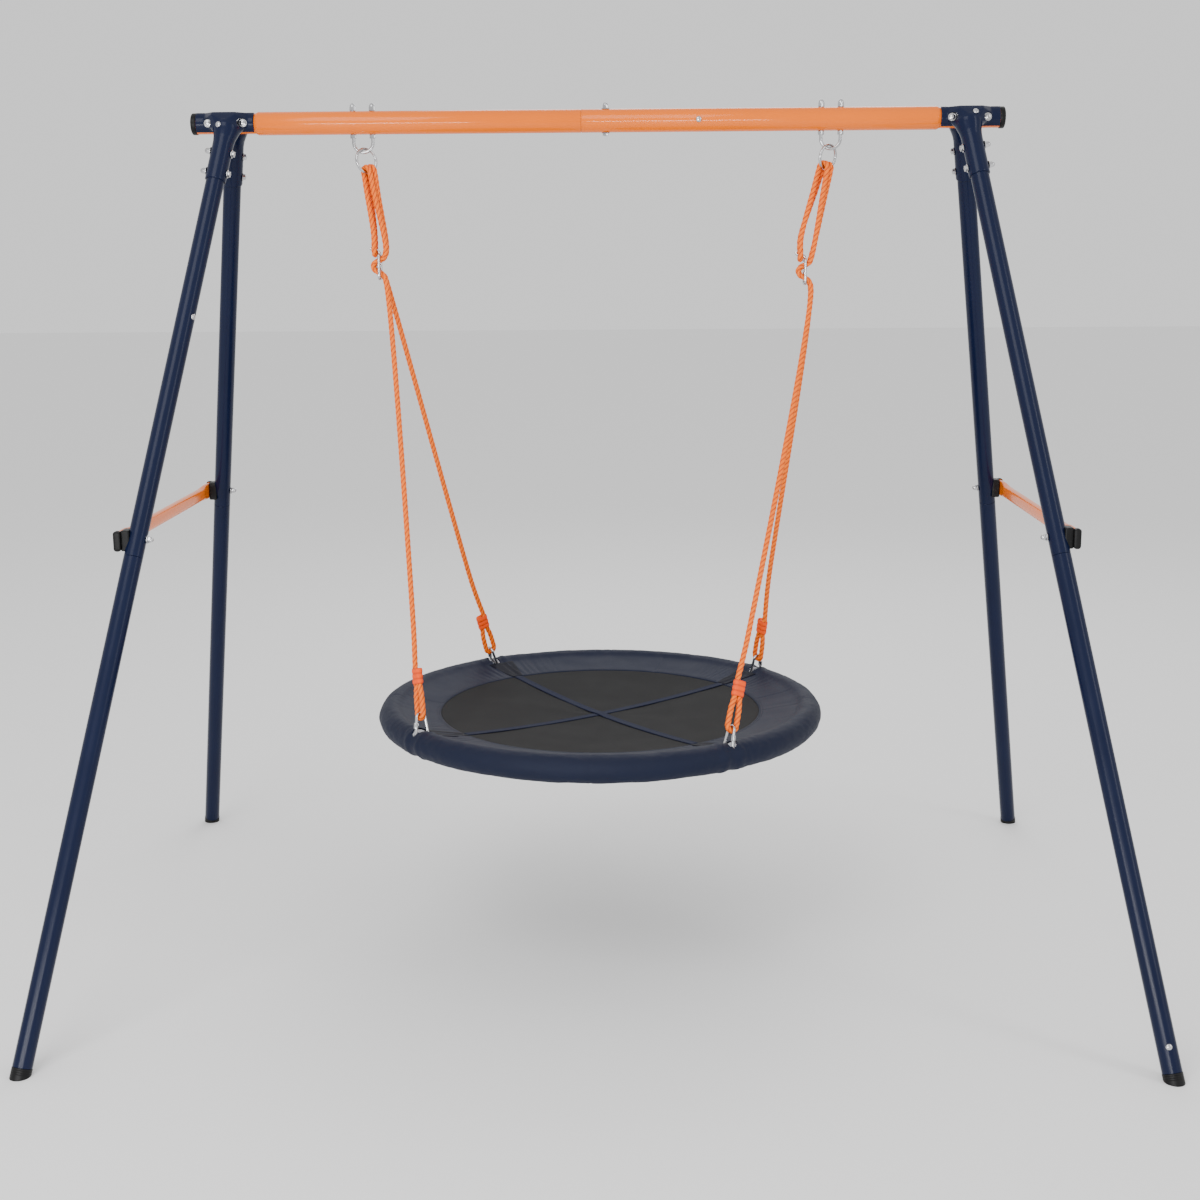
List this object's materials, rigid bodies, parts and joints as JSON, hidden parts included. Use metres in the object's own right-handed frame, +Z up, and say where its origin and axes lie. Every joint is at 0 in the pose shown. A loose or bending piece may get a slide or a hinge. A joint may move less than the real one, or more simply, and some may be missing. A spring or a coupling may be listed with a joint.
{
  "type": "nest swing",
  "caption": "Round padded nest seat on doubled ropes, swinging from rings under a tubular steel A-frame with splayed legs and side braces.",
  "frame": {"origin": "middle of the footprint, on the floor", "axes": "+X along the crossbar to the right seen from the front, -Y to the front, +Z up"},
  "size_m": [2.2058, 1.5482, 1.8303],
  "materials": {
    "navy_steel": "glossy navy powder coat",
    "orange_steel": "glossy orange powder coat",
    "zinc_steel": "bright zinc plate",
    "black_plastic": "moulded, satin",
    "orange_rope": "three-strand twisted polypropylene",
    "navy_fabric": "woven coated polyester",
    "black_mat": "coarse woven mesh cloth",
    "grey_foam": "closed-cell foam sleeve"
  },
  "bodies": {
    "frame": {"brace_bolt_front_left": "zinc_steel", "brace_bolt_front_right": "zinc_steel", "brace_bolt_rear_left": "zinc_steel", "brace_bolt_rear_right": "zinc_steel", "brace_saddle_front_left": "black_plastic", "brace_saddle_front_right": "black_plastic", "brace_saddle_rear_left": "black_plastic", "brace_saddle_rear_right": "black_plastic", "bracket_bolt_inner_left": "zinc_steel", "bracket_bolt_inner_right": "zinc_steel", "bracket_bolt_outer_left": "zinc_steel", "bracket_bolt_outer_right": "zinc_steel", "bracket_front_left": "navy_steel", "bracket_front_right": "navy_steel", "bracket_rear_left": "navy_steel", "bracket_rear_right": "navy_steel", "crossbar_cap_left": "black_plastic", "crossbar_cap_right": "black_plastic", "crossbar_joint_bolt": "zinc_steel", "crossbar_left": "orange_steel", "crossbar_right": "orange_steel", "foot_cap_front_left": "black_plastic", "foot_cap_front_right": "black_plastic", "foot_cap_rear_left": "black_plastic", "foot_cap_rear_right": "black_plastic", "leg_bolt_front_left": "zinc_steel", "leg_bolt_front_right": "zinc_steel", "leg_bolt_rear_left": "zinc_steel", "leg_bolt_rear_right": "zinc_steel", "leg_lower_front_left": "navy_steel", "leg_lower_front_right": "navy_steel", "leg_lower_rear_left": "navy_steel", "leg_lower_rear_right": "navy_steel", "leg_upper_front_left": "navy_steel", "leg_upper_front_right": "navy_steel", "leg_upper_rear_left": "navy_steel", "leg_upper_rear_right": "navy_steel", "side_brace_left": "orange_steel", "side_brace_right": "orange_steel", "u_bolt_left": "zinc_steel", "u_bolt_right": "zinc_steel"},
    "ring_left": {"ring_left": "zinc_steel"},
    "ring_right": {"ring_right": "zinc_steel"},
    "seat": {"adjuster_left": "zinc_steel", "adjuster_right": "zinc_steel", "link_front_left": "zinc_steel", "link_front_right": "zinc_steel", "link_rear_left": "zinc_steel", "link_rear_right": "zinc_steel", "rope_left": "orange_rope", "rope_right": "orange_rope", "seat_cover": "navy_fabric", "seat_cross_strap": "navy_fabric", "seat_foam": "grey_foam", "seat_hoop": "zinc_steel", "seat_mat": "black_mat", "whipping_front_left": "orange_rope", "whipping_front_right": "orange_rope", "whipping_rear_left": "orange_rope", "whipping_rear_right": "orange_rope"}
  },
  "joints": [
    {"name": "ring_left_swing", "type": "hinge", "parent": "frame", "child": "ring_left", "pos_m": [-0.491, 0, 1.7295], "axis": [1, 0, 0], "range_deg": [-40, 40]},
    {"name": "ring_right_swing", "type": "hinge", "parent": "frame", "child": "ring_right", "pos_m": [0.491, 0, 1.7295], "axis": [1, 0, 0], "range_deg": [-40, 40]},
    {"name": "seat_swing", "type": "hinge", "parent": "ring_left", "child": "seat", "pos_m": [-0.4806, 0, 1.68819], "axis": [1, 0, 0], "range_deg": [-8, 8]}
  ],
  "couplings": [
    {"joint": "ring_right_swing", "follows": "ring_left_swing", "ratio": 1}
  ]
}
